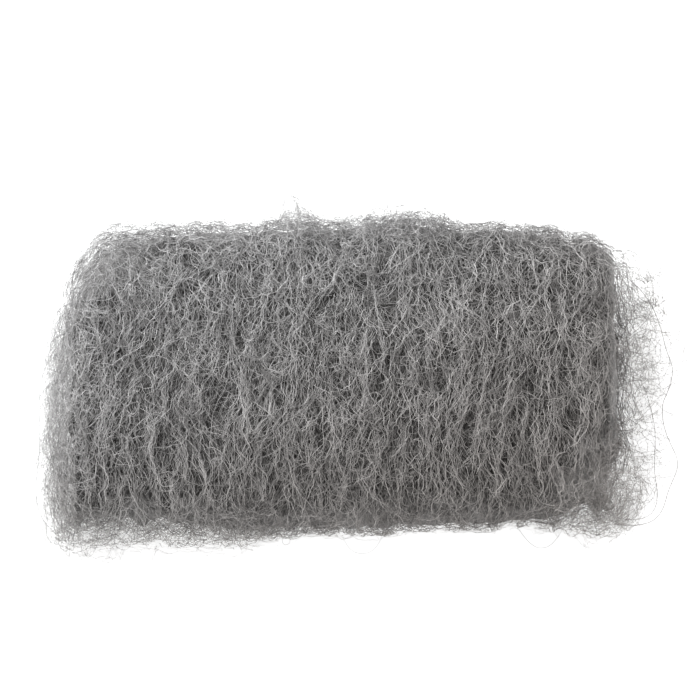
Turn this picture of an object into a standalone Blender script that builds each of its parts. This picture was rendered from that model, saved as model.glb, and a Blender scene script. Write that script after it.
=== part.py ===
"""A hand pad of matted steel wool: one strip of wool folded into a soft block that lies on its broad face.

The strip's strands run across the pad, from its front fold over the top to its back fold, so the
ridges follow that way round. Over its whole outside they gather into locks with hollows between
them. The two ends are the strip's edges, and the right one is the looser and fuller. All sizes are
in metres, +Z is up, +X runs along the pad's length, and the origin is under the middle of the pad,
on what it lies on.
"""

import math

import bmesh
import bpy
from mathutils import Vector, noise

# The block
PAD_LENGTH = 0.1145
PAD_WIDTH = 0.0645
PAD_HEIGHT = 0.0205
CROWN_HEIGHT = 0.0036
LEFT_END_BULGE = 0.0010
RIGHT_END_BULGE = 0.0030
BACK_BOW = 0.0022

# Roundings: the two folds in section, the ends seen from the side, and the corners seen from above
FOLD_TOP_RADIUS = 0.0115
FOLD_FOOT_RADIUS = 0.0070
END_TOP_RADIUS = 0.0080
END_FOOT_RADIUS = 0.0035
BACK_LEFT_CORNER = 0.0120
BACK_RIGHT_CORNER = 0.0085
FRONT_CORNER = 0.0040

# The hand-made outline: both ends lean to the right, more and more towards the back, and the front
# fold steps back a little from left to right
LEFT_END_LEAN = 0.0032
RIGHT_END_LEAN = 0.0028
FRONT_SKEW = 0.0032

# Strands matted into ridges: most run from fold to fold, and some cross them at a slant. Their sink
# is the share of their height that lies below the smooth block
STRAND_PITCH = 0.0050
STRAND_RUN = 0.0280
STRAND_HEIGHT = 0.0010
STRAND_SINK = 0.8
STRAND_SWAY = 0.0030
SLANTED_STRANDS = (0.0, 0.35, -0.25)

# The broader tufts that the strands gather into, and the run over which all relief fades towards
# the foot
TUFT_PITCH = 0.0150
TUFT_HEIGHT = 0.0014
RELIEF_FADE = 0.0050

# The locks that stand proud all over the outside, and the hollows between them: slim ones that run
# from fold to fold, mixed with round ones
LOCK_WIDTH = 0.0018
LOCK_RUN = 0.0050
ROUND_LOCK_SIZE = 0.0032
SLIM_SHARE = 0.8
ROUND_SHARE = 0.9
LOCK_HEIGHT = 0.0005
HOLLOW_DEPTH = 0.0018

# The mesh: sections between the rounded ends and round each end, points over a section from foot to
# foot and back under it, rings on each end face, and the step of the arcs that the points are read from
MIDDLE_SECTIONS = 62
END_SECTIONS = 6
SECTION_POINTS = 64
UNDERSIDE_POINTS = 10
END_RINGS = 5
ARC_STEP = math.radians(3)

# How far the noise goes from zero, at most places
NOISE_HEIGHT = 0.45

STEEL_COLOR = (0.34, 0.33, 0.32, 1.0)
STEEL_METALLIC = 0.85
STEEL_ROUGHNESS = 0.55


def clear_scene():
    for thing in list(bpy.data.objects):
        bpy.data.objects.remove(thing)


def steel_material():
    material = bpy.data.materials.new("steel_wool")
    material.use_nodes = True
    shader = material.node_tree.nodes["Principled BSDF"]
    shader.inputs["Base Color"].default_value = STEEL_COLOR
    shader.inputs["Metallic"].default_value = STEEL_METALLIC
    shader.inputs["Roughness"].default_value = STEEL_ROUGHNESS
    return material


def rounding(gap, radius):
    """How far a corner of this radius pulls the surface in, at this gap from the corner's outer side."""
    if gap >= radius:
        return 0.0
    return radius - math.sqrt(radius**2 - (radius - gap) ** 2)


def ease(share):
    share = max(0.0, min(1.0, share))
    return share * share * (3 - 2 * share)


def section_places():
    """Distances of the sections from the left end: close together round each end, even between them."""
    reach = max(END_TOP_RADIUS, FRONT_CORNER)
    quarter = math.pi / 2
    end = [reach * (1 - math.cos(quarter * k / END_SECTIONS)) for k in range(END_SECTIONS)]
    middle = PAD_LENGTH - 2 * reach
    straight = [reach + middle * k / MIDDLE_SECTIONS for k in range(MIDDLE_SECTIONS + 1)]
    return end + straight + [PAD_LENGTH - place for place in reversed(end)]


def section_limits(place):
    """Front, back, foot and top of the section at this distance from the left end."""
    from_right = PAD_LENGTH - place
    gap = min(place, from_right)
    back_corner = rounding(place, BACK_LEFT_CORNER) + rounding(from_right, BACK_RIGHT_CORNER)
    skew = FRONT_SKEW * ease(place / PAD_LENGTH)
    bow = BACK_BOW * math.sin(math.pi * place / PAD_LENGTH)
    front = -PAD_WIDTH / 2 + skew + rounding(gap, FRONT_CORNER)
    back = PAD_WIDTH / 2 + bow - back_corner
    foot = rounding(gap, END_FOOT_RADIUS)
    top = PAD_HEIGHT - rounding(gap, END_TOP_RADIUS)
    return front, back, foot, top


def arc(centre_y, centre_z, radius, start, end):
    steps = max(2, round(abs(end - start) / ARC_STEP))
    angles = [start + (end - start) * k / steps for k in range(steps + 1)]
    return [(centre_y + radius * math.cos(a), centre_z + radius * math.sin(a)) for a in angles]


def section_outline(front, back, foot, top):
    """The section's outline from its front foot, round the front fold, over the top, to its back foot."""
    height = top - foot
    shrink = min(1.0, height / (FOLD_TOP_RADIUS + FOLD_FOOT_RADIUS))
    upper = FOLD_TOP_RADIUS * shrink
    lower = FOLD_FOOT_RADIUS * shrink
    right = math.pi / 2
    return (
        arc(front + lower, foot + lower, lower, -right, -2 * right)
        + arc(front + upper, top - upper, upper, 2 * right, right)
        + arc(back - upper, top - upper, upper, right, 0.0)
        + arc(back - lower, foot + lower, lower, 0.0, -right)
    )


def evenly(outline):
    """Points at equal steps along the outline, each with its distance from the outline's start."""
    reached = [0.0]
    for (y0, z0), (y1, z1) in zip(outline, outline[1:]):
        reached.append(reached[-1] + math.hypot(y1 - y0, z1 - z0))
    points = []
    piece = 0
    for k in range(SECTION_POINTS):
        goal = reached[-1] * k / (SECTION_POINTS - 1)
        while piece < len(outline) - 2 and reached[piece + 1] < goal:
            piece += 1
        span = reached[piece + 1] - reached[piece]
        share = (goal - reached[piece]) / span if span > 0 else 0.0
        y = outline[piece][0] + (outline[piece + 1][0] - outline[piece][0]) * share
        z = outline[piece][1] + (outline[piece + 1][1] - outline[piece][1]) * share
        points.append((y, z, goal))
    return points


def tuft_relief(place, run):
    """Height of the broad tufts over the smooth block, at this place along it and this run over it."""
    return TUFT_HEIGHT * noise.noise(Vector((place / TUFT_PITCH, run / TUFT_PITCH, 3.0)))


def strand_relief(place, run):
    """Height of the matted strands over the smooth block: of the ridges that meet there, the highest."""
    sway = STRAND_SWAY * noise.noise(Vector((place / TUFT_PITCH, run / STRAND_RUN, 7.0)))
    crests = []
    for lay, slant in enumerate(SLANTED_STRANDS):
        across = (place + sway + slant * run) / STRAND_PITCH
        ripple = abs(noise.noise(Vector((across, run / STRAND_RUN, 20.0 * lay))))
        crests.append(1 - ease(ripple / NOISE_HEIGHT))
    return STRAND_HEIGHT * (max(crests) - STRAND_SINK) + tuft_relief(place, run)


def underside_points(back_foot, front_foot):
    """Points at equal steps under the section, from its back foot to its front foot."""
    steps = [k / (UNDERSIDE_POINTS + 1) for k in range(1, UNDERSIDE_POINTS + 1)]
    return [(back_foot[0] + (front_foot[0] - back_foot[0]) * step, back_foot[1]) for step in steps]


def section_points(place):
    """The matted section: the even outline, crowned on top and raised by its strands."""
    front, back, foot, top = section_limits(place)
    flat = evenly(section_outline(front, back, foot, top))
    length = flat[-1][2]
    half = (back - front) / 2
    middle = (back + front) / 2
    end_gap = min(place, PAD_LENGTH - place)
    end_fade = (1 + ease(end_gap / RELIEF_FADE)) / 2
    points = []
    for k, (y, z, run) in enumerate(flat):
        before = flat[max(k - 1, 0)]
        after = flat[min(k + 1, SECTION_POINTS - 1)]
        along = math.hypot(after[0] - before[0], after[1] - before[1])
        out_y = -(after[1] - before[1]) / along
        out_z = (after[0] - before[0]) / along
        fade = ease(min(run, length - run) / RELIEF_FADE) * end_fade
        relief = strand_relief(place, run) * fade
        crown = CROWN_HEIGHT * (1 - ((y - middle) / half) ** 2) * ease((z - foot) / (top - foot))
        points.append((y + out_y * relief, max(foot, z + out_z * relief + crown)))
    return points + underside_points(points[-1], points[0])


def lean(place, y):
    """X of a point: each end leans by its own amount, and the middle of the pad stays as it is."""
    side = 2 * place / PAD_LENGTH - 1
    most = LEFT_END_LEAN if side < 0 else RIGHT_END_LEAN
    backness = max(0.0, y / PAD_WIDTH + 0.5)
    return place - PAD_LENGTH / 2 + most * side**2 * backness**2


def end_ring(points, place, outward, share):
    """A ring on an end face: the end section drawn in towards its own middle line, share by share."""
    most = LEFT_END_BULGE if outward < 0 else RIGHT_END_BULGE
    ys = [y for y, _ in points]
    zs = [z for _, z in points]
    middle_z = (min(zs) + max(zs)) / 2
    reach = (max(zs) - min(zs)) / 2
    left, right = min(ys) + reach, max(ys) - reach
    ring = []
    for y, z in points:
        spine = max(left, min(right, y))
        new_y = y + (spine - y) * share
        new_z = z + (middle_z - z) * share
        bulge = most * ease(share) + tuft_relief(new_y, new_z + place) * share
        ring.append(Vector((lean(place, new_y) + outward * bulge, new_y, new_z)))
    return ring


def pad_rings():
    """Every ring of the pad from the left end face to the right one."""
    places = section_places()
    sections = [section_points(place) for place in places]
    rings = [
        [Vector((lean(place, y), y, z)) for y, z in points] for place, points in zip(places, sections)
    ]
    shares = [k / (END_RINGS + 1) for k in range(1, END_RINGS + 1)]
    left = [end_ring(sections[0], places[0], -1, share) for share in reversed(shares)]
    right = [end_ring(sections[-1], places[-1], 1, share) for share in shares]
    return left + rings + right


def pad_mesh():
    mesh = bpy.data.meshes.new("steel_wool_pad")
    body = bmesh.new()
    rings = [[body.verts.new(point) for point in ring] for ring in pad_rings()]
    for one, other in zip(rings, rings[1:]):
        for k, vertex in enumerate(one):
            after = (k + 1) % len(one)
            body.faces.new((vertex, one[after], other[after], other[k]))
    body.faces.new(rings[0])
    body.faces.new(rings[-1])
    bmesh.ops.recalc_face_normals(body, faces=body.faces)
    bmesh.ops.triangulate(body, faces=body.faces)
    body.to_mesh(mesh)
    body.free()
    return mesh


def centre_on_foot(mesh):
    """Moves the mesh so that the origin lies under the middle of its box, on the plane of its foot."""
    low = Vector(min(v.co[axis] for v in mesh.vertices) for axis in range(3))
    high = Vector(max(v.co[axis] for v in mesh.vertices) for axis in range(3))
    middle = (low + high) / 2
    for vertex in mesh.vertices:
        vertex.co -= Vector((middle.x, middle.y, low.z))


def lock_relief(point):
    """Height of the lock at a point, or the depth, below zero, of the hollow there."""
    slim = noise.noise(Vector((point.x / LOCK_WIDTH, point.y / LOCK_RUN, point.z / LOCK_RUN)))
    rounded = noise.noise(point / ROUND_LOCK_SIZE)
    lock = SLIM_SHARE * slim + ROUND_SHARE * rounded
    return lock * (LOCK_HEIGHT if lock > 0 else HOLLOW_DEPTH)


def raise_locks(mesh):
    """Raises the locks and sinks the hollows, less and less towards the foot."""
    moves = [v.normal * lock_relief(v.co) * ease(v.co.z / RELIEF_FADE) for v in mesh.vertices]
    for vertex, move in zip(mesh.vertices, moves):
        vertex.co += move
        vertex.co.z = max(0.0, vertex.co.z)


def build_pad():
    mesh = pad_mesh()
    centre_on_foot(mesh)
    raise_locks(mesh)
    centre_on_foot(mesh)
    mesh.materials.append(steel_material())
    pad = bpy.data.objects.new("steel_wool_pad", mesh)
    bpy.context.scene.collection.objects.link(pad)
    mesh.shade_smooth()
    return pad


clear_scene()
build_pad()
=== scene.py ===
import math
import time
import bmesh
import bpy
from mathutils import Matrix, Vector, noise


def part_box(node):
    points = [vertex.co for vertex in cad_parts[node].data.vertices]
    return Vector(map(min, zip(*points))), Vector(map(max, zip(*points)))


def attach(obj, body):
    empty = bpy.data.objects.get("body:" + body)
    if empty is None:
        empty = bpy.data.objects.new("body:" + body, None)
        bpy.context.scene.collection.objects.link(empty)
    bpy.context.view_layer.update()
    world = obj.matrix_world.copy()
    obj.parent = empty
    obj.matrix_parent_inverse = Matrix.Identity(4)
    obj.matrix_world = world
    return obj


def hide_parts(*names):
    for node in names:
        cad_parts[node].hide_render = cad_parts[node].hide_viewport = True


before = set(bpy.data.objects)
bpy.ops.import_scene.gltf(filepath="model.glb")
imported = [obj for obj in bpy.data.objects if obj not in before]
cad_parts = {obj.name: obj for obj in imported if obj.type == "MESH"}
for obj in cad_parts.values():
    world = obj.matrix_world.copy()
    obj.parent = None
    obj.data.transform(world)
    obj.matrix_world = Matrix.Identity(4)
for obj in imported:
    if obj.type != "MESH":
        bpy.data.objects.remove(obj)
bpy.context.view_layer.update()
started = time.perf_counter()


def report(words):
    print(f"[wool {time.perf_counter() - started:5.1f} s] {words}", flush=True)


def addNode(tree, kind, inputs=None, **settings):
    node = tree.nodes.new(kind)
    for name, value in settings.items():
        setattr(node, name, value)
    for key, value in (inputs or {}).items():
        live = [s for s in node.inputs if s.enabled]
        socket = live[key] if isinstance(key, int) else next(s for s in live if key in (s.name, s.identifier))
        if isinstance(value, bpy.types.NodeSocket):
            tree.links.new(value, socket)
        else:
            socket.default_value = value
    return node


def outOf(node, name=None):  # a node's first live output, or the live one of that name
    return next(s for s in node.outputs if s.enabled and name in (None, s.name))


def addSockets(tree, inOut, sockets):  # each is kind and default; gives every socket's identifier
    made = {}
    for name, (kind, value) in sockets.items():
        socket = tree.interface.new_socket(name, in_out=inOut, socket_type="NodeSocket" + kind)
        if value is not None:
            socket.default_value = value
        made[name] = socket.identifier
    return made


def addObject(name, data):
    thing = bpy.data.objects.new(name, data)
    bpy.context.scene.collection.objects.link(thing)
    return thing


def math2(tree, operation, a, b, **settings):
    return outOf(addNode(tree, "ShaderNodeMath", {0: a, 1: b}, operation=operation, **settings))


def vec2(tree, operation, a, b):
    return outOf(addNode(tree, "ShaderNodeVectorMath", {0: a, 1: b}, operation=operation))


# Painted shade: the steel's colour turns a little browner and duller towards the front right corner, away
# from the key light at the back left

paintedShadeRamp = {"tint": (0.79, 0.757, 0.730, 1), "towards": (0.5, -0.87, 0.0), "from": -0.035, "to": 0.045}

# Shader group that the mat and the strands share: a tone between two greys, in broad patches, with painted
# glints and painted shade

toneForm = {"patchDetail": 3.0, "glintDetail": 1.0, "roughPatch": (0.3, 0.7)}


def makeToneGroup():
    tree = bpy.data.node_groups.new("steelTone", "ShaderNodeTree")
    addSockets(tree, "INPUT", {
        "Tone": ("Float", 0.5),
        "Dark": ("Color", (0.1, 0.1, 0.1, 1)),
        "Light": ("Color", (0.5, 0.5, 0.5, 1)),
        "Patch Scale": ("Float", 60.0),
        "Patch Strength": ("Float", 0.3),
        "Glint Scale": ("Float", 700.0),
        "Glint Strength": ("Float", 0.5),
        "Rough Low": ("Float", 0.35),
        "Rough High": ("Float", 0.55),
        "Painted Shade Tint": ("Color", (1, 1, 1, 1)),
        "Painted Shade From": ("Float", 0.0),
        "Painted Shade To": ("Float", 1.0),
    })
    addSockets(tree, "OUTPUT", {"Color": ("Color", None), "Roughness": ("Float", None)})
    given = addNode(tree, "NodeGroupInput").outputs
    place = addNode(tree, "ShaderNodeTexCoord").outputs["Object"]
    patch = outOf(addNode(tree, "ShaderNodeTexNoise",
                          {"Vector": place, "Scale": given["Patch Scale"],
                           "Detail": toneForm["patchDetail"]}), "Fac")
    shift = math2(tree, "MULTIPLY", math2(tree, "SUBTRACT", patch, 0.5), given["Patch Strength"])
    # Painted glints: short bright and dark bits of colour along the strands, standing in for facets catching
    # the light
    glint = outOf(addNode(tree, "ShaderNodeTexNoise",
                          {"Vector": place, "Scale": given["Glint Scale"],
                           "Detail": toneForm["glintDetail"]}), "Fac")
    glint = math2(tree, "MULTIPLY", math2(tree, "SUBTRACT", glint, 0.5), given["Glint Strength"])
    tone = math2(tree, "ADD", math2(tree, "ADD", given["Tone"], shift), glint, use_clamp=True)
    colour = addNode(tree, "ShaderNodeMix", {"Factor": tone, "A": given["Dark"], "B": given["Light"]},
                     data_type="RGBA")
    # Painted shade: the colour is multiplied by a browner, darker tint towards the front right corner
    towards = outOf(addNode(tree, "ShaderNodeVectorMath", {0: place, 1: paintedShadeRamp["towards"]},
                            operation="DOT_PRODUCT"), "Value")
    paintedShade = addNode(tree, "ShaderNodeMapRange",
                   {"Value": towards, "From Min": given["Painted Shade From"], "From Max": given["Painted Shade To"]},
                   interpolation_type="SMOOTHSTEP")
    colour = addNode(tree, "ShaderNodeMix",
                     {"Factor": outOf(paintedShade), "A": outOf(colour), "B": given["Painted Shade Tint"]},
                     data_type="RGBA", blend_type="MULTIPLY")
    rough = addNode(tree, "ShaderNodeMapRange",
                    {"Value": patch, "From Min": toneForm["roughPatch"][0],
                     "From Max": toneForm["roughPatch"][1], "To Min": given["Rough Low"],
                     "To Max": given["Rough High"]})
    addNode(tree, "NodeGroupOutput", {"Color": outOf(colour), "Roughness": outOf(rough)})
    return tree


# Shader group for strands packed side by side, deep in the mat: fine across, long from fold to fold

packForm = {"slants": (0.0, 0.55, -0.45), "swayDetail": 2.0, "strandDetail": 1.0, "sharp": (0.5, 0.75)}


def makeMatGroup():
    tree = bpy.data.node_groups.new("packedStrands", "ShaderNodeTree")
    addSockets(tree, "INPUT", {
        "Fineness": ("Float", 2600.0),
        "Run": ("Float", 260.0),
        "Sway": ("Float", 0.004),
        "Sway Scale": ("Float", 90.0),
    })
    addSockets(tree, "OUTPUT", {"Tone": ("Float", None), "Height": ("Float", None)})
    given = addNode(tree, "NodeGroupInput").outputs
    place = addNode(tree, "ShaderNodeTexCoord").outputs["Object"]
    swirl = addNode(tree, "ShaderNodeTexNoise",
                    {"Vector": place, "Scale": given["Sway Scale"],
                     "Detail": packForm["swayDetail"]}).outputs["Color"]
    swirl = vec2(tree, "SUBTRACT", swirl, (0.5, 0.5, 0.5))
    swayed = addNode(tree, "ShaderNodeVectorMath", {0: swirl, "Scale": given["Sway"]}, operation="SCALE")
    moved = vec2(tree, "ADD", place, outOf(swayed))
    lays = []
    for slant in packForm["slants"]:
        turned = addNode(tree, "ShaderNodeMapping", {"Vector": moved, "Rotation": (0, 0, slant)})
        scale = addNode(tree, "ShaderNodeCombineXYZ",
                        {"X": given["Fineness"], "Y": given["Run"], "Z": given["Run"]})
        stretched = vec2(tree, "MULTIPLY", outOf(turned), outOf(scale))
        fine = addNode(tree, "ShaderNodeTexNoise",
                       {"Vector": stretched, "Scale": 1.0, "Detail": packForm["strandDetail"]})
        lays.append(outOf(fine, "Fac"))
    top = math2(tree, "MAXIMUM", math2(tree, "MAXIMUM", lays[0], lays[1]), lays[2])
    sharp = addNode(tree, "ShaderNodeMapRange", {"Value": top, "From Min": packForm["sharp"][0],
                                                 "From Max": packForm["sharp"][1]})
    addNode(tree, "NodeGroupOutput", {"Tone": outOf(sharp), "Height": outOf(sharp)})
    return tree


toneGroup = makeToneGroup()
matGroup = makeMatGroup()

# Steel of the loose strands: each strand has a tone of its own

strandSteel = {
    "metallic": 0.7,
    "specular": 0.4,
    "dark": (0.148, 0.145, 0.143, 1),
    "light": (0.470, 0.465, 0.464, 1),
    "patchScale": 70.0,
    "patchStrength": 0.35,
    "glintScale": 900.0,
    "glintStrength": 0.5,
    "rough": (0.50, 0.65),
}

# Steel deep in the mat, where little light reaches, so its dark colour is painted shade; painted light makes
# it paler where the mat is thin, standing in for light coming through it

packedSteel = {
    "metallic": 0.75,
    "specular": 0.4,
    # Painted shade: this near-black grey stands in for the shade deep in the mat
    "dark": (0.021, 0.020, 0.019, 1),
    "light": (0.27, 0.266, 0.264, 1),
    "patchScale": 70.0,
    "patchStrength": 0.3,
    "glintScale": 700.0,
    "glintStrength": 0.3,
    "rough": (0.45, 0.65),
    "fineness": 4600.0,
    "run": 700.0,
    "bump": 0.0003,
    "paintedLightLift": 0.6,
    "paintedLightColor": (0.50, 0.495, 0.49, 1),
    "paintedLightShare": 0.65,
}


def steelMaterial(name, steel, toneFrom):
    material = bpy.data.materials.new(name)
    material.use_nodes = True
    tree = material.node_tree
    shader = tree.nodes["Principled BSDF"]
    shader.inputs["Metallic"].default_value = steel["metallic"]
    shader.inputs["Specular IOR Level"].default_value = steel["specular"]
    tone = addNode(tree, "ShaderNodeGroup", {}, node_tree=toneGroup)
    for socket, value in (("Dark", steel["dark"]), ("Light", steel["light"]),
                          ("Patch Scale", steel["patchScale"]), ("Patch Strength", steel["patchStrength"]),
                          ("Glint Scale", steel["glintScale"]), ("Glint Strength", steel["glintStrength"]),
                          ("Rough Low", steel["rough"][0]), ("Rough High", steel["rough"][1]),
                          ("Painted Shade Tint", paintedShadeRamp["tint"]), ("Painted Shade From", paintedShadeRamp["from"]),
                          ("Painted Shade To", paintedShadeRamp["to"])):
        tone.inputs[socket].default_value = value
    if toneFrom == "strand":
        own = addNode(tree, "ShaderNodeAttribute", attribute_name="tone")
        tree.links.new(own.outputs["Fac"], tone.inputs["Tone"])
    else:
        packed = addNode(tree, "ShaderNodeGroup", {}, node_tree=matGroup)
        packed.inputs["Fineness"].default_value = steel["fineness"]
        packed.inputs["Run"].default_value = steel["run"]
        # Painted light: the tone is lifted where light would come through the thin mat
        paintedLight = addNode(tree, "ShaderNodeAttribute", attribute_name="paintedLight").outputs["Fac"]
        lift = math2(tree, "MULTIPLY", paintedLight, steel["paintedLightLift"])
        tree.links.new(math2(tree, "ADD", packed.outputs["Tone"], lift), tone.inputs["Tone"])
        bump = addNode(tree, "ShaderNodeBump",
                       {"Height": packed.outputs["Height"], "Distance": steel["bump"]})
        tree.links.new(bump.outputs["Normal"], shader.inputs["Normal"])
    colour = tone.outputs["Color"]
    if toneFrom == "packed":
        # Painted light: there the colour is also mixed towards a pale grey
        thinned = math2(tree, "MULTIPLY", paintedLight, steel["paintedLightShare"])
        colour = outOf(addNode(tree, "ShaderNodeMix",
                               {"Factor": thinned, "A": colour, "B": steel["paintedLightColor"]}, data_type="RGBA"))
    tree.links.new(colour, shader.inputs["Base Color"])
    tree.links.new(tone.outputs["Roughness"], shader.inputs["Roughness"])
    return material


strandMaterial = steelMaterial("looseSteelStrands", strandSteel, "strand")
packedMaterial = steelMaterial("packedSteelMat", packedSteel, "packed")
report("materials")

# The pad's solid, remeshed evenly and smoothed: the strands walk over it

guideForm = {"voxel": 0.0009, "smoothing": 2, "outside": 0.0005, "backOutside": 0.0004}

low, high = (Vector(corner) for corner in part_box("steel_wool_pad"))
halfLength = (high.x - low.x) / 2
halfWidth = (high.y - low.y) / 2
midHeight = (high.z + low.z) / 2
spine = halfWidth - midHeight  # the folds turn round this line, at mid height


def plainMesh(thing, name):  # the evaluated mesh, as a mesh of its own
    graph = bpy.context.evaluated_depsgraph_get()
    mesh = bpy.data.meshes.new_from_object(thing.evaluated_get(graph), depsgraph=graph)
    mesh.name = name
    return mesh


def evenCopy(name, voxel, smoothing):
    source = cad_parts["steel_wool_pad"]
    mesh = bpy.data.meshes.new(name)
    body = bmesh.new()
    body.from_mesh(source.data)
    bmesh.ops.remove_doubles(body, verts=body.verts, dist=1e-6)
    body.to_mesh(mesh)
    body.free()
    thing = addObject(name, mesh)
    even = thing.modifiers.new("even", "REMESH")
    even.mode = "VOXEL"
    even.voxel_size = voxel
    smooth = thing.modifiers.new("smooth", "SMOOTH")
    smooth.iterations = smoothing
    smooth.factor = 0.5
    thing.data = plainMesh(thing, name)
    thing.modifiers.clear()
    thing.data.materials.clear()
    return thing


guide = evenCopy("woolGuide", guideForm["voxel"], guideForm["smoothing"])
report(f"guide with {len(guide.data.polygons)} faces")

# What the strands follow on the guide: lay, the way from fold to fold; pull, towards the nearest lock;
# unruly, how far their headings spread; loft, how far they stand proud; deep, how far in they lie

layForm = {"swirl": 0.30, "swirlSize": 0.014, "lock": 0.35, "lockSize": 0.0045}
lockForm = {"width": 0.0016, "run": 0.0040, "cell": 0.0025, "slim": 0.8, "round": 0.9, "bunch": 1.2,
            "backBunch": 0.7, "least": 0.08, "most": 1.8, "raise": 0.0002, "hollow": 0.0006, "under": 0.8}
loftForm = {"top": 0.0005, "right": 0.0105, "rightRun": (0.90, 0.99), "left": 0.0034,
            "leftRun": (0.92, 0.99), "frontFoot": 0.0050, "back": 0.0016, "corner": 0.0020, "under": 0.6}
deepForm = {"edge": 0.5, "foot": 1.8, "back": 1.8, "corner": 1.2, "leftWall": 0.6, "rightWall": 2.2}
raggedForm = {"size": 0.006, "fineSize": 0.0022, "fine": 0.5, "end": 0.02, "foot": 0.5, "corner": 0.003,
              "back": 0.05}
unrulyForm = {"least": 0.75, "back": 0.7, "backRun": (-0.4, 0.7), "band": 0.5, "bandRun": (0.55, 0.95),
              "bandSlope": (-0.3, 0.3), "edge": 1.2, "foot": 0.25, "wall": 0.8}
edgeForm = {  # each run is where a share goes from 0 to 1: of half a side, mid height or a normal, or metres
    "endRun": (0.93, 1.0),
    "underRun": (0.35, 0.85),
    "wallRun": (0.4, 0.85),
    "cornerRun": (0.008, 0.026),
    "footRun": (0.72, 0.95),
    "footHeight": (0.55, 1.4),
    "thinLeft": (-0.85, -0.20),
    "thinLeast": 0.06,
    "thinRight": (0.010, 0.023),
    "skirt": 0.75,
    "skirtLeft": (-0.35, 0.05),
    "rimRun": (0.75, 0.95),
    "rimHeight": (0.6, 1.0),
    "backRun": (0.80, 1.0),
    "backLeast": 0.1,
    "backMore": 0.32,
    "backLeft": (-0.8, -0.3),
    "wispRun": (0.6, 1.1),
}
wisps = (  # along the back edge: the middle and half length are along x
    {"middle": -0.0270, "half": 0.0080, "height": 0.0026, "share": 0.18},
    {"middle": -0.0105, "half": 0.0032, "height": 0.0070, "share": 1.2},
    {"middle": 0.0115, "half": 0.0110, "height": 0.0040, "share": 0.28},
)


def along(value, start, end):  # 0 at start, 1 at end, eased between
    share = min(1.0, max(0.0, (value - start) / (end - start)))
    return share * share * (3 - 2 * share)


def layAt(point, normal):
    radial = Vector((0.0, point.y - min(spine, max(-spine, point.y)), point.z - midHeight))
    if radial.length < 1e-4:
        radial = Vector((0.0, 0.0, 1e-4))
    lay = Vector((1, 0, 0)).cross(radial.normalized())
    lay = lay.lerp(Vector((0, -1, 0)), wallness(normal))
    lay -= normal * lay.dot(normal)
    if lay.length < 0.05:
        lay = Vector((0, 1, 0)) - normal * normal.y
    swirl = layForm["swirl"] * noise.noise(point / layForm["swirlSize"])
    swirl += layForm["lock"] * noise.noise(point / layForm["lockSize"])
    side = normal.cross(lay.normalized())
    return lay.normalized() * math.cos(swirl) + side * math.sin(swirl)


def lockAt(point):  # above 0 in a lock of strands, below 0 in a hollow between locks
    slim = noise.noise(Vector((point.x / lockForm["width"], point.y / lockForm["run"],
                               point.z / lockForm["run"])))
    cell = noise.noise(point / lockForm["cell"])
    return lockForm["slim"] * slim + lockForm["round"] * cell


def lockPull(point, normal):  # along the guide, towards the nearest lock
    step = lockForm["width"] / 8
    here = lockAt(point)
    slope = Vector([lockAt(point + axis * step) - here for axis in (Vector((1, 0, 0)), Vector((0, 1, 0)),
                                                                   Vector((0, 0, 1)))]) / step
    slope -= normal * slope.dot(normal)
    return slope * lockForm["width"]


def clumpAt(point):  # how many strands start there, as a share of the most
    bunch = lockForm["bunch"] * (1 - lockForm["backBunch"] * backRim(point))
    clump = max(lockForm["least"], 1.0 + bunch * lockAt(point))
    return min(lockForm["most"], clump) / lockForm["most"]


def raggedAt(point):
    fine = raggedForm["fine"] * noise.noise(point / raggedForm["fineSize"])
    return noise.noise(point / raggedForm["size"]) + fine


def endness(point):  # 0 over the middle, 1 at the end faces, with a ragged start
    return along(abs(point.x) / halfLength + raggedForm["end"] * raggedAt(point), *edgeForm["endRun"])


def underness(normal):  # 1 on the underside
    return along(-normal.z, *edgeForm["underRun"])


def wallness(normal):  # 1 on the end faces' upright part, which the camera sees edge on
    return along(abs(normal.x), *edgeForm["wallRun"])


def unrulyAt(point, normal):  # strands run straighter at the front and curl at the back
    start, end = unrulyForm["bandRun"]
    band = along(point.y, halfWidth * start, halfWidth * end) * along(normal.z, *unrulyForm["bandSlope"])
    thin = max(endness(point), unrulyForm["foot"] * thinFoot(point), cornerness(point))
    edge = unrulyForm["edge"] * thin + unrulyForm["wall"] * wallness(normal)
    curl = unrulyForm["back"] * along(point.y / halfWidth, *unrulyForm["backRun"])
    return unrulyForm["least"] + curl + unrulyForm["band"] * band + edge


def cornerness(point):  # 1 at the thin corner at the back left
    return 1 - along(math.hypot(point.x + halfLength, point.y - halfWidth), *edgeForm["cornerRun"])


def footness(point):  # 1 low on the front fold, 0 elsewhere
    front = along(-point.y / halfWidth, *edgeForm["footRun"])
    up = point.z / midHeight + raggedForm["foot"] * raggedAt(point)
    return front * (1 - along(up, *edgeForm["footHeight"]))


def thinFoot(point):  # the front foot thins out most on the left, and all of its right corner does
    left = 1 - along(point.x / halfLength, *edgeForm["thinLeft"])
    away = math.hypot(point.x - halfLength, point.y + halfWidth) + raggedForm["corner"] * raggedAt(point)
    right = 1 - along(away, *edgeForm["thinRight"])
    return max(footness(point) * max(left, edgeForm["thinLeast"]), right)


def skirtness(point):  # where strands stand out in front of the foot
    left = 1 - along(point.x / halfLength, *edgeForm["skirtLeft"])
    return max(thinFoot(point), edgeForm["skirt"] * footness(point) * left)


def backRim(point):  # 1 along the back edge's upper side
    upper = along(point.z / midHeight, *edgeForm["rimHeight"])
    return along(point.y / halfWidth, *edgeForm["rimRun"]) * upper


def wispAt(point, what):  # the most of that in the wisps along the back edge
    nearby = []
    for wisp in wisps:
        away = abs(point.x - wisp["middle"]) / wisp["half"]
        nearby.append(wisp[what] * (1 - along(away, *edgeForm["wispRun"])))
    return max(nearby) * backRim(point)


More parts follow.
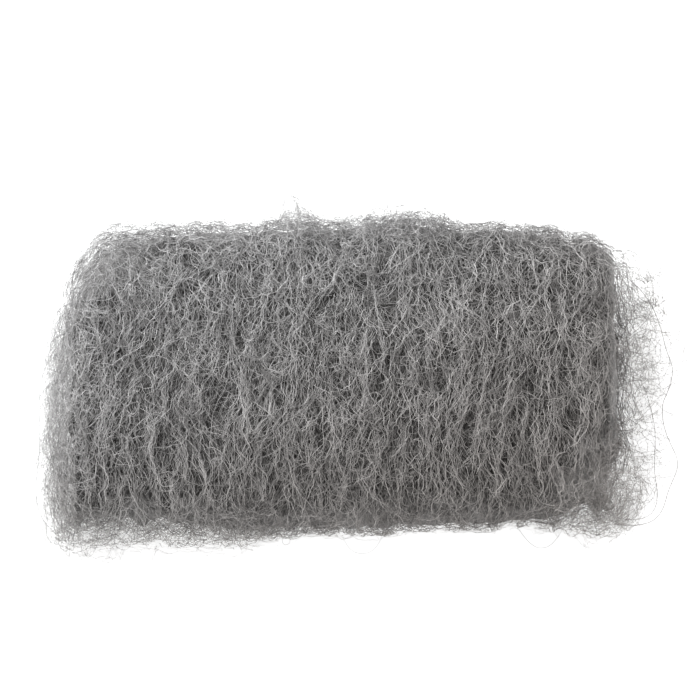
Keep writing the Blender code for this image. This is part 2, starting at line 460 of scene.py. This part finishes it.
def thinBack(point):  # the back edge thins out too, more on the left
    left = 1 - along(point.x / halfLength, *edgeForm["backLeft"])
    back = point.y / halfWidth + raggedForm["back"] * raggedAt(point)
    return (edgeForm["backLeast"] + edgeForm["backMore"] * left) * along(back, *edgeForm["backRun"])


def edgeness(point):  # 1 where the pad's outline thins out most
    return max(endness(point), thinFoot(point), thinBack(point))


def loftAt(point, normal):  # how far the loosest strands stand proud there
    right = along(point.x / halfLength, *loftForm["rightRun"]) * loftForm["right"]
    left = along(-point.x / halfLength, *loftForm["leftRun"]) * loftForm["left"]
    foot = skirtness(point) * loftForm["frontFoot"]
    back = backRim(point) * loftForm["back"] + wispAt(point, "height")
    corner = cornerness(point) * loftForm["corner"]
    lowered = 1 - loftForm["under"] * underness(normal)
    return max(loftForm["top"], right, left, foot, back, corner) * lowered


def deepAt(point, normal):  # how many times as far in the strands lie there
    wall = wallness(normal) * (deepForm["rightWall"] if point.x > 0 else deepForm["leftWall"])
    deep = 1 + deepForm["edge"] * edgeness(point) + wall
    deep = deep + deepForm["foot"] * thinFoot(point) + deepForm["back"] * thinBack(point)
    return deep + deepForm["corner"] * cornerness(point)


def writeField(mesh, name, kind, key, values):
    field = mesh.attributes.new(name, kind, "POINT")
    field.data.foreach_set(key, values)


def reliefAt(point, normal):  # what the solid's coarser faces leave out of its locks and hollows
    lock = lockAt(point)
    height = lock * (lockForm["raise"] if lock > 0 else lockForm["hollow"])
    return height * (1 - lockForm["under"] * underness(normal))


def raiseLocks(mesh):
    moved = []
    for vertex in mesh.vertices:
        point, normal = vertex.co, vertex.normal
        outside = guideForm["outside"] + guideForm["backOutside"] * backRim(point)
        outside *= 1 - underness(normal)
        moved.append(point + normal * (outside + reliefAt(point, normal)))
    for vertex, place in zip(mesh.vertices, moved):
        vertex.co = place
    mesh.update()


def dressGuide(mesh):
    lays, normals, pulls, unruly, loft, deep = [], [], [], [], [], []
    for vertex in mesh.vertices:
        normals.extend(vertex.normal)
        lays.extend(layAt(vertex.co, vertex.normal))
        pulls.extend(lockPull(vertex.co, vertex.normal))
        unruly.append(unrulyAt(vertex.co, vertex.normal))
        loft.append(loftAt(vertex.co, vertex.normal))
        deep.append(deepAt(vertex.co, vertex.normal))
    writeField(mesh, "lay", "FLOAT_VECTOR", "vector", lays)
    writeField(mesh, "outward", "FLOAT_VECTOR", "vector", normals)
    writeField(mesh, "pull", "FLOAT_VECTOR", "vector", pulls)
    writeField(mesh, "unruly", "FLOAT", "value", unruly)
    writeField(mesh, "loft", "FLOAT", "value", loft)
    writeField(mesh, "deep", "FLOAT", "value", deep)


raiseLocks(guide.data)
dressGuide(guide.data)

# The tree that lays strands: each starts at a random point of the guide and walks over it

strandSockets = {
    "Density": ("Float", 500000.0),
    "Steps": ("Int", 9),
    "Step Length": ("Float", 0.0018),
    "Radius": ("Float", 0.00008),
    "Radius Spread": ("Float", 0.35),
    "Heading": ("Float", 0.0),
    "Heading Spread": ("Float", 0.9),
    "Wander": ("Float", 0.35),
    "Turn": ("Float", 0.1),
    "Gather": ("Float", 0.28),
    "Crimp": ("Float", 0.00012),
    "Depth Low": ("Float", -0.0008),
    "Depth High": ("Float", 0.0005),
    "Lift": ("Float", 0.0008),
    "Loft": ("Float", 1.0),
    "Loft Bias": ("Float", 2.0),
    "Anchor": ("Float", 1.0),
    "Tip Share": ("Float", 0.2),
    "Tone Low": ("Float", 0.0),
    "Seed": ("Int", 1),
    "Material": ("Material", None),
}
walkForm = {"spread": 0.7, "bias": 3.0, "kinkSeed": 20, "wanderSeed": 300, "sides": 3, "clear": 1.05}


def makeStrandTree():
    tree = bpy.data.node_groups.new("woolStrands", "GeometryNodeTree")
    sockets = addSockets(tree, "INPUT", {"Geometry": ("Geometry", None), **strandSockets})
    addSockets(tree, "OUTPUT", {"Geometry": ("Geometry", None)})
    given = addNode(tree, "NodeGroupInput").outputs
    surface = given["Geometry"]

    def named(name, kind="FLOAT"):
        return outOf(addNode(tree, "GeometryNodeInputNamedAttribute", {"Name": name}, data_type=kind))

    def store(points, name, value, kind="FLOAT", domain="POINT"):
        return outOf(addNode(tree, "GeometryNodeStoreNamedAttribute",
                             {"Geometry": points, "Name": name, "Value": value},
                             data_type=kind, domain=domain))

    def random(offset, least, most, kind="FLOAT"):
        seed = math2(tree, "ADD", given["Seed"], offset)
        return outOf(addNode(tree, "FunctionNodeRandomValue", {"Min": least, "Max": most, "Seed": seed},
                             data_type=kind))

    # Starting points, each with what its strand keeps all the way
    density = math2(tree, "MULTIPLY", given["Density"], named("share"))
    walkers = outOf(addNode(tree, "GeometryNodeDistributePointsOnFaces",
                            {"Mesh": surface, "Density": density, "Seed": given["Seed"]}), "Points")
    walkers = store(walkers, "strand", outOf(addNode(tree, "GeometryNodeInputIndex")), "INT")
    spread = math2(tree, "MULTIPLY", given["Heading Spread"], named("unruly"))
    half = walkForm["spread"]
    twoDice = math2(tree, "ADD", random(1, -half, half), random(2, -half, half))
    heading = math2(tree, "ADD", given["Heading"], math2(tree, "MULTIPLY", twoDice, spread))
    walkers = store(walkers, "heading", heading)
    turn = math2(tree, "POWER", random(3, -1.0, 1.0), walkForm["bias"])
    turn = math2(tree, "MULTIPLY", turn, given["Turn"])
    turn = math2(tree, "MULTIPLY", turn, named("unruly"))
    walkers = store(walkers, "turn", turn)
    depth = addNode(tree, "ShaderNodeMapRange", {"Value": random(5, 0.0, 1.0), "To Min": given["Depth Low"],
                                                 "To Max": given["Depth High"]})
    walkers = store(walkers, "depth", outOf(depth))
    lift = math2(tree, "POWER", random(6, 0.0, 1.0), walkForm["bias"])
    walkers = store(walkers, "lift", math2(tree, "MULTIPLY", lift, given["Lift"]))
    rise = math2(tree, "POWER", random(4, 0.0, 1.0), given["Loft Bias"])
    walkers = store(walkers, "rise", math2(tree, "MULTIPLY", given["Loft"], rise))
    walkers = store(walkers, "tip", math2(tree, "LESS_THAN", random(7, 0.0, 1.0), given["Tip Share"]))
    walkers = store(walkers, "tone", random(8, given["Tone Low"], 1.0))
    thin = math2(tree, "MULTIPLY", given["Radius Spread"], random(9, 0.0, 1.0))
    thickness = math2(tree, "MULTIPLY", given["Radius"], math2(tree, "SUBTRACT", 1.0, thin))
    walkers = store(walkers, "thickness", thickness)

    # The walk
    begin = addNode(tree, "GeometryNodeRepeatInput")
    finish = tree.nodes.new("GeometryNodeRepeatOutput")
    begin.pair_with_output(finish)
    finish.repeat_items.new("GEOMETRY", "Trail")
    tree.links.new(given["Steps"], begin.inputs["Iterations"])
    tree.links.new(walkers, begin.inputs["Geometry"])
    step = begin.outputs["Iteration"]
    here = outOf(addNode(tree, "GeometryNodeInputPosition"))

    def onSurface(name, kind):
        return outOf(addNode(tree, "GeometryNodeSampleNearestSurface",
                             {"Mesh": surface, "Value": named(name, kind), "Sample Position": here},
                             data_type=kind))

    outward = onSurface("outward", "FLOAT_VECTOR")
    lay = onSurface("lay", "FLOAT_VECTOR")
    loft = math2(tree, "MULTIPLY", onSurface("loft", "FLOAT"), named("rise"))
    share = math2(tree, "DIVIDE", step, math2(tree, "SUBTRACT", given["Steps"], 1.0))
    fromMiddle = math2(tree, "SUBTRACT", math2(tree, "MULTIPLY", share, 2.0), 1.0)
    square = math2(tree, "MULTIPLY", fromMiddle, fromMiddle)
    arch = math2(tree, "SUBTRACT", 1.0, math2(tree, "MULTIPLY", square, square))
    rising = math2(tree, "POWER", share, 2.0)
    form = outOf(addNode(tree, "ShaderNodeMix", {"Factor": named("tip"), "A": arch, "B": rising},
                         data_type="FLOAT"))
    form = outOf(addNode(tree, "ShaderNodeMix", {"Factor": given["Anchor"], "A": 1.0, "B": form},
                         data_type="FLOAT"))
    proud = math2(tree, "MULTIPLY", math2(tree, "ADD", named("lift"), loft), form)
    sunk = math2(tree, "MULTIPLY", named("depth"), onSurface("deep", "FLOAT"))
    height = math2(tree, "ADD", sunk, proud)
    kinkSeed = math2(tree, "ADD", math2(tree, "ADD", given["Seed"], walkForm["kinkSeed"]), step)
    kink = addNode(tree, "FunctionNodeRandomValue",
                   {"Min": (-1.0, -1.0, -1.0), "Max": (1.0, 1.0, 1.0), "Seed": kinkSeed},
                   data_type="FLOAT_VECTOR")
    kink = outOf(addNode(tree, "ShaderNodeVectorMath", {0: outOf(kink), "Scale": given["Crimp"]},
                         operation="SCALE"))
    raised = outOf(addNode(tree, "ShaderNodeVectorMath", {0: outward, "Scale": height}, operation="SCALE"))
    offset = vec2(tree, "ADD", raised, kink)
    marks = outOf(addNode(tree, "GeometryNodeSetPosition",
                          {"Geometry": begin.outputs["Geometry"], "Offset": offset}))
    marks = store(marks, "step", step, "INT")
    trail = addNode(tree, "GeometryNodeJoinGeometry")
    tree.links.new(marks, trail.inputs[0])
    tree.links.new(begin.outputs["Trail"], trail.inputs[0])
    wanderSeed = math2(tree, "ADD", math2(tree, "ADD", given["Seed"], walkForm["wanderSeed"]), step)
    wander = addNode(tree, "FunctionNodeRandomValue", {"Min": -1.0, "Max": 1.0, "Seed": wanderSeed},
                     data_type="FLOAT")
    wander = math2(tree, "MULTIPLY", outOf(wander), given["Wander"])
    angle = math2(tree, "ADD", named("heading"), math2(tree, "MULTIPLY", named("turn"), step))
    angle = math2(tree, "ADD", angle, wander)
    way = outOf(addNode(tree, "ShaderNodeVectorRotate", {"Vector": lay, "Axis": outward, "Angle": angle},
                        rotation_type="AXIS_ANGLE"))
    pull = outOf(addNode(tree, "ShaderNodeVectorMath", {0: onSurface("pull", "FLOAT_VECTOR"),
                                                        "Scale": given["Gather"]}, operation="SCALE"))
    way = outOf(addNode(tree, "ShaderNodeVectorMath", {0: vec2(tree, "ADD", way, pull)},
                        operation="NORMALIZE"))
    stride = outOf(addNode(tree, "ShaderNodeVectorMath", {0: way, "Scale": given["Step Length"]},
                           operation="SCALE"))
    landing = addNode(tree, "GeometryNodeProximity",
                      {"Target": surface, "Source Position": vec2(tree, "ADD", here, stride)},
                      target_element="FACES")
    moved = addNode(tree, "GeometryNodeSetPosition",
                    {"Geometry": begin.outputs["Geometry"], "Position": outOf(landing, "Position")})
    tree.links.new(outOf(moved), finish.inputs["Geometry"])
    tree.links.new(outOf(trail), finish.inputs["Trail"])

    # One tube for each strand, none of it below what the pad lies on
    strands = outOf(addNode(tree, "GeometryNodePointsToCurves",
                            {"Points": finish.outputs["Trail"], "Curve Group ID": named("strand", "INT"),
                             "Weight": named("step")}))
    apart = addNode(tree, "ShaderNodeSeparateXYZ", {"Vector": here})
    least = math2(tree, "MULTIPLY", named("thickness"), walkForm["clear"])
    clear = math2(tree, "MAXIMUM", apart.outputs["Z"], least)
    kept = outOf(addNode(tree, "ShaderNodeCombineXYZ",
                         {"X": apart.outputs["X"], "Y": apart.outputs["Y"], "Z": clear}))
    strands = outOf(addNode(tree, "GeometryNodeSetPosition", {"Geometry": strands, "Position": kept}))
    section = addNode(tree, "GeometryNodeCurvePrimitiveCircle",
                      {"Resolution": walkForm["sides"], "Radius": 1.0})
    tubes = outOf(addNode(tree, "GeometryNodeCurveToMesh",
                          {"Curve": strands, "Profile Curve": outOf(section), "Scale": named("thickness"),
                           "Fill Caps": True}))
    tubes = outOf(addNode(tree, "GeometryNodeRealizeInstances", {"Geometry": tubes}))
    tubes = outOf(addNode(tree, "GeometryNodeSetMaterial",
                          {"Geometry": tubes, "Material": given["Material"]}))
    addNode(tree, "NodeGroupOutput", {"Geometry": tubes})
    return tree, sockets


strandTree, strandIds = makeStrandTree()
keptFields = ("position", "tone", "sharp_face", "material_index")


def layStrands(name, settings, shareAt):  # share says how many strands start at a place
    mesh = guide.data.copy()
    writeField(mesh, "share", "FLOAT", "value", [shareAt(v.co, v.normal) for v in mesh.vertices])
    piece = addObject(name, mesh)
    layer = piece.modifiers.new("strands", "NODES")
    layer.node_group = strandTree
    for socket, value in {**settings, "Material": strandMaterial}.items():
        layer[strandIds[socket]] = value
    piece.data = plainMesh(piece, name)
    piece.modifiers.clear()
    for field in [a.name for a in piece.data.attributes if not a.name.startswith(".")]:
        if field not in keptFields:
            piece.data.attributes.remove(piece.data.attributes[field])
    piece.data.shade_flat()
    piece.data.calc_loop_triangles()
    report(f"{name}: {len(piece.data.loop_triangles)} triangles")
    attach(piece, "root")


# The mat under the loose strands: the solid drawn in a little, more at its open ends

coreForm = {"voxel": 0.0011, "smoothing": 1, "inset": 0.0009, "edgeInset": 0.0055, "ragged": 0.4,
            "cornerInset": 0.0018, "rightInset": 0.0010, "rightRun": (0.88, 0.98), "backOutset": 0.0007,
            "footOutset": 0.0006, "foot": 0.0010, "lump": 0.0005, "lumpSize": 0.004, "edgeLump": 0.0024,
            "edgeLumpSize": 0.0022, "fill": 0.9}
paintedLightForm = {"corner": 0.7, "back": 0.7, "backRun": (0.80, 0.98), "height": (0.6, 1.3), "foot": 0.4}


# Painted light: 1 at the thin upper edges and the thin foot; on the ends and back only the upper half gets
# it, as light falls from above
def paintedLightAt(point):  # 1 at the thin upper edges, where light comes through the mat
    rim = max(endness(point), thinBack(point), paintedLightForm["corner"] * cornerness(point),
              paintedLightForm["back"] * along(point.y / halfWidth, *paintedLightForm["backRun"]),
              along(point.x / halfLength, *coreForm["rightRun"]))
    rim *= along(point.z / midHeight, *paintedLightForm["height"])
    return max(rim, thinFoot(point), paintedLightForm["foot"] * footness(point))


def insetAt(point):
    edge = edgeness(point)
    more = coreForm["edgeInset"] - coreForm["inset"]
    inset = coreForm["inset"] + more * edge * (1 + coreForm["ragged"] * raggedAt(point))
    foot = coreForm["footOutset"] * footness(point) * (1 - edge)
    inset += coreForm["cornerInset"] * cornerness(point) - foot
    inset += coreForm["rightInset"] * along(point.x / halfLength, *coreForm["rightRun"])
    inset -= coreForm["backOutset"] * backRim(point) * (1 - cornerness(point))
    return inset


def lumpAt(point, normal):
    lump = coreForm["lump"] * noise.noise(point / coreForm["lumpSize"]) + reliefAt(point, normal)
    lump += coreForm["edgeLump"] * edgeness(point) * noise.noise(point / coreForm["edgeLumpSize"])
    return lump


def makeCore():
    core = evenCopy("woolCore", coreForm["voxel"], coreForm["smoothing"])
    mesh = core.data
    moved, paintedLight = [], []
    for vertex in mesh.vertices:
        point, normal = vertex.co.copy(), vertex.normal.copy()
        paintedLight.append(paintedLightAt(point))
        point -= normal * (insetAt(point) - lumpAt(point, normal))
        point.z = max(coreForm["foot"], point.z)
        moved.append(point)
    for vertex, point in zip(mesh.vertices, moved):
        vertex.co = point
    writeField(mesh, "paintedLight", "FLOAT", "value", paintedLight)
    mesh.materials.append(packedMaterial)
    mesh.shade_smooth()
    mesh.calc_loop_triangles()
    report(f"woolCore: {len(mesh.loop_triangles)} triangles")
    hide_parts("steel_wool_pad")
    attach(core, "root")


makeCore()

# The strands, from the inner ones out

innerMat = {"Density": 230000.0, "Steps": 9, "Step Length": 0.0018, "Radius": 0.000068,
            "Heading Spread": 0.55, "Wander": 0.35, "Turn": 0.06, "Crimp": 0.00022, "Depth Low": -0.0019,
            "Depth High": -0.0006, "Lift": 0.0004, "Loft": 0.2, "Loft Bias": 2.0, "Tip Share": 0.0,
            "Seed": 11}
faceMat = {"Density": 345000.0, "Steps": 11, "Step Length": 0.00130, "Radius": 0.000055,
           "Heading Spread": 0.38, "Wander": 0.40, "Turn": 0.15, "Crimp": 0.00020, "Depth Low": -0.0012,
           "Depth High": 0.0002, "Lift": 0.0007, "Loft": 0.3, "Loft Bias": 2.0, "Tip Share": 0.2,
           "Seed": 23}
crossMat = {"Density": 390000.0, "Steps": 10, "Step Length": 0.00105, "Radius": 0.000050,
            "Heading Spread": 0.9, "Wander": 0.45, "Turn": 0.5, "Crimp": 0.00020, "Depth Low": -0.0012,
            "Depth High": 0.0003, "Lift": 0.0009, "Loft": 0.4, "Loft Bias": 1.6, "Tip Share": 0.25,
            "Seed": 37}
looseMat = {"Density": 215000.0, "Steps": 13, "Step Length": 0.00105, "Radius": 0.000048,
            "Heading Spread": 1.15, "Wander": 0.45, "Turn": 1.0, "Crimp": 0.00016, "Depth Low": -0.0004,
            "Depth High": 0.0006, "Lift": 0.0014, "Loft": 0.7, "Loft Bias": 1.6, "Tip Share": 0.4,
            "Tone Low": 0.25, "Seed": 53}
fringe = {"Density": 1250000.0, "Steps": 11, "Step Length": 0.0011, "Radius": 0.000026,
          "Heading Spread": 0.8, "Wander": 0.5, "Turn": 0.5, "Crimp": 0.00035, "Depth Low": -0.001,
          "Depth High": 0.0008, "Lift": 0.001, "Loft": 1.0, "Loft Bias": 0.85, "Anchor": 0.6,
          "Tip Share": 0.2, "Gather": 0.05, "Tone Low": 0.45, "Seed": 71}
skirt = {"Density": 980000.0, "Steps": 11, "Step Length": 0.0012, "Radius": 0.000025, "Heading": 1.1,
         "Heading Spread": 1.1, "Wander": 0.6, "Turn": 0.6, "Crimp": 0.00028, "Depth Low": -0.0016,
         "Depth High": 0.0006, "Lift": 0.0006, "Loft": 1.0, "Loft Bias": 1.3, "Anchor": 0.6,
         "Tip Share": 0.1, "Gather": 0.0, "Tone Low": 0.45, "Seed": 83}
fluff = {"Density": 780000.0, "Steps": 5, "Step Length": 0.0008, "Radius": 0.000041,
         "Heading Spread": 1.8, "Wander": 0.8, "Turn": 0.9, "Crimp": 0.00026, "Depth Low": -0.0010,
         "Depth High": 0.0004, "Lift": 0.0008, "Loft": 0.6, "Loft Bias": 2.2, "Anchor": 0.2,
         "Tip Share": 0.4, "Seed": 91}

# How many of them start at a place: more or fewer than elsewhere at the edges, and few underneath

innerStart = {"edge": 0.3, "corner": 1.5, "leftWall": 0.8, "rightWall": 1.2, "under": 0.6}
matStart = {"edge": 0.2, "corner": 0.3, "right": 0.5, "rightRun": (0.92, 0.99), "rightWall": 0.6,
            "under": 0.7}
fringeStart = {"right": 0.35, "rightBack": 0.35, "rightRun": (0.90, 0.98), "left": 0.75, "leftBack": 0.45,
               "leftRun": (0.93, 0.99), "backRun": (-0.5, 0.3), "corner": 0.4, "least": 0.016,
               "under": 0.7}
fluffStart = {"back": 0.8}
skirtStart = {"under": 0.7}


def innerShare(point, normal):
    wall = (innerStart["rightWall"] if point.x > 0 else innerStart["leftWall"]) * wallness(normal)
    edge = 1 + max(innerStart["edge"] * edgeness(point), innerStart["corner"] * cornerness(point)) + wall
    return (1.0 - innerStart["under"] * underness(normal)) * edge * clumpAt(point)


def matShare(point, normal):
    thin = (1 - matStart["edge"] * edgeness(point)) * (1 + matStart["corner"] * cornerness(point))
    if point.x > 0:
        end = 1 - matStart["right"] * along(point.x / halfLength, *matStart["rightRun"])
        thin *= end * (1 - matStart["rightWall"] * wallness(normal))
    return (1.0 - matStart["under"] * underness(normal)) * thin * clumpAt(point)


def fringeShare(point, normal):
    back = along(point.y / halfWidth, *fringeStart["backRun"])
    right = along(point.x / halfLength, *fringeStart["rightRun"])
    right *= fringeStart["right"] + fringeStart["rightBack"] * back
    left = along(-point.x / halfLength, *fringeStart["leftRun"])
    left *= fringeStart["left"] + fringeStart["leftBack"] * back
    corner = cornerness(point) * fringeStart["corner"]
    most = max(right, left, corner, wispAt(point, "share"), fringeStart["least"])
    return most * (1.0 - fringeStart["under"] * underness(normal))


def fluffShare(point, normal):
    return matShare(point, normal) * (1 + fluffStart["back"] * backRim(point))


def skirtShare(point, normal):
    most = max(skirtness(point), wispAt(point, "share"))
    return most * (1.0 - skirtStart["under"] * underness(normal))


layStrands("innerStrands", innerMat, innerShare)
layStrands("faceStrands", faceMat, matShare)
layStrands("crossStrands", crossMat, matShare)
layStrands("looseStrands", looseMat, matShare)
layStrands("endFringe", fringe, fringeShare)
layStrands("footSkirt", skirt, skirtShare)
layStrands("fluff", fluff, fluffShare)
bpy.data.objects.remove(guide)

# Single long strands that stray out of the pad: height over the table, radius, and places along x and y

strays = (
    {"height": 0.0105, "radius": 0.00006, "path": (
        (0.0560, 0.0240), (0.0610, 0.0200), (0.0645, 0.0130), (0.0655, 0.0050), (0.0672, 0.0020),
        (0.0660, -0.0030), (0.0640, -0.0060), (0.0648, -0.0130), (0.0676, -0.0180), (0.0668, -0.0215),
        (0.0648, -0.0250), (0.0640, -0.0300), (0.0600, -0.0330), (0.0540, -0.0320))},
    {"height": 0.0080, "radius": 0.00005, "path": (
        (0.0550, 0.0060), (0.0600, 0.0030), (0.0622, -0.0050), (0.0634, -0.0120), (0.0622, -0.0200),
        (0.0640, -0.0260), (0.0610, -0.0310), (0.0550, -0.0300))},
    {"height": 0.0120, "radius": 0.00005, "path": (
        (0.0540, 0.0270), (0.0590, 0.0290), (0.0625, 0.0240), (0.0640, 0.0170), (0.0620, 0.0110),
        (0.0570, 0.0080))},
    {"height": 0.0050, "radius": 0.00005, "path": (
        (-0.0580, 0.0120), (-0.0632, 0.0060), (-0.0640, -0.0040), (-0.0628, -0.0140), (-0.0642, -0.0220),
        (-0.0630, -0.0300), (-0.0570, -0.0340))},
    {"height": 0.0015, "radius": 0.00003, "path": (
        (-0.0010, -0.0310), (0.0000, -0.0345), (0.0035, -0.0362), (0.0065, -0.0340), (0.0075, -0.0300))},
    {"height": 0.0020, "radius": 0.00004, "path": (
        (0.0350, -0.0300), (0.0372, -0.0335), (0.0400, -0.0352), (0.0425, -0.0330), (0.0440, -0.0300))},
)
strayForm = {"tone": 0.4, "sway": 0.0015, "swaySize": 0.006, "order": 4, "smoothness": 6}


def layStrays():
    curve = bpy.data.curves.new("strayStrands", "CURVE")
    curve.dimensions = "3D"
    curve.bevel_depth = 1.0
    curve.bevel_resolution = 0
    curve.use_fill_caps = True
    for stray in strays:
        strand = curve.splines.new("NURBS")
        strand.points.add(len(stray["path"]) - 1)
        for knot, (x, y) in zip(strand.points, stray["path"]):
            sway = strayForm["sway"] * noise.noise(Vector((x, y, 0.0)) / strayForm["swaySize"])
            knot.co = (x, y, max(stray["height"] + sway, 2 * stray["radius"]), 1.0)
            knot.radius = stray["radius"]
        strand.order_u = strayForm["order"]
        strand.use_endpoint_u = True
        strand.resolution_u = strayForm["smoothness"]
    bent = addObject("strayCurve", curve)
    mesh = plainMesh(bent, "strayStrands")
    bpy.data.objects.remove(bent)
    writeField(mesh, "tone", "FLOAT", "value", [strayForm["tone"]] * len(mesh.vertices))
    mesh.materials.clear()
    mesh.materials.append(strandMaterial)
    piece = addObject("strayStrands", mesh)
    mesh.calc_loop_triangles()
    report(f"strayStrands: {len(mesh.loop_triangles)} triangles")
    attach(piece, "root")


layStrays()

# Floor, light and camera

studio = {
    "floorReach": 4.0,
    "floorColor": (0.65, 0.65, 0.65, 1),
    "floorRough": 0.9,
    "floorGlow": 0.66,
    "worldStrength": 0.86,
    "keyPower": 1.62,
    "keyColor": (0.975, 0.99, 1.0),
    "keySize": 0.3,
    "keyPlace": (-0.13, 0.20, 0.19),
    "fillPower": 1.26,
    "fillColor": (1.0, 1.0, 1.0),
    "fillSize": 0.3,
    "fillPlace": (-0.26, -0.30, 0.10),
    "rimPower": 0.8,
    "rimColor": (1.0, 1.0, 1.0),
    "rimSize": 0.25,
    "rimPlace": (0.34, 0.08, 0.07),
}
viewpoint = {"elevation": 68.0, "distance": 0.80, "lens": 198.0, "sensor": 36.0, "clip": 0.01,
             "target": (0.00055, 0.0088, 0.0034)}


def makeFloor():
    mesh = bpy.data.meshes.new("studioFloor")
    reach = studio["floorReach"]
    mesh.from_pydata([(-reach, -reach, 0), (reach, -reach, 0), (reach, reach, 0), (-reach, reach, 0)],
                     [], [(0, 1, 2, 3)])
    floor = addObject("studioFloor", mesh)
    material = bpy.data.materials.new("paleFloor")
    material.use_nodes = True
    tree = material.node_tree
    shader = tree.nodes["Principled BSDF"]
    shader.inputs["Base Color"].default_value = studio["floorColor"]
    shader.inputs["Roughness"].default_value = studio["floorRough"]
    shader.inputs["Specular IOR Level"].default_value = 0.0
    shader.inputs["Emission Color"].default_value = (1, 1, 1, 1)
    rays = tree.nodes.new("ShaderNodeLightPath").outputs
    seen = math2(tree, "MAXIMUM", rays["Is Camera Ray"], rays["Is Glossy Ray"])
    glow = math2(tree, "MULTIPLY", seen, studio["floorGlow"])
    tree.links.new(glow, shader.inputs["Emission Strength"])
    mesh.materials.append(material)


def lightStudio():
    world = bpy.data.worlds.new("studioWorld")
    bpy.context.scene.world = world
    world.use_nodes = True
    tree = world.node_tree
    sky = tree.nodes["Background"]
    sky.inputs["Color"].default_value = (1, 1, 1, 1)
    rays = tree.nodes.new("ShaderNodeLightPath").outputs
    strength = outOf(addNode(tree, "ShaderNodeMix",
                             {"Factor": rays["Is Camera Ray"], "A": studio["worldStrength"], "B": 1.0},
                             data_type="FLOAT"))
    tree.links.new(strength, sky.inputs["Strength"])
    for name in ("key", "fill", "rim"):
        light = bpy.data.lights.new(name + "Light", "AREA")
        light.energy = studio[name + "Power"]
        light.size = studio[name + "Size"]
        light.color = studio[name + "Color"]
        lamp = addObject(name + "Light", light)
        lamp.location = studio[name + "Place"]
        lamp.rotation_euler = (-lamp.location).to_track_quat("-Z", "Y").to_euler()


def placeCamera():
    tilt = math.radians(viewpoint["elevation"])
    away = Vector((0.0, -math.cos(tilt), math.sin(tilt))) * viewpoint["distance"]
    camera = addObject("camera", bpy.data.cameras.new("camera"))
    camera.data.lens = viewpoint["lens"]
    camera.data.sensor_width = viewpoint["sensor"]
    camera.data.clip_start = viewpoint["clip"]
    camera.location = Vector(viewpoint["target"]) + away
    camera.rotation_euler = (-away).to_track_quat("-Z", "Y").to_euler()
    bpy.context.scene.camera = camera


makeFloor()
lightStudio()
placeCamera()
bpy.context.scene.view_settings.view_transform = "Standard"
report("floor, light and camera")
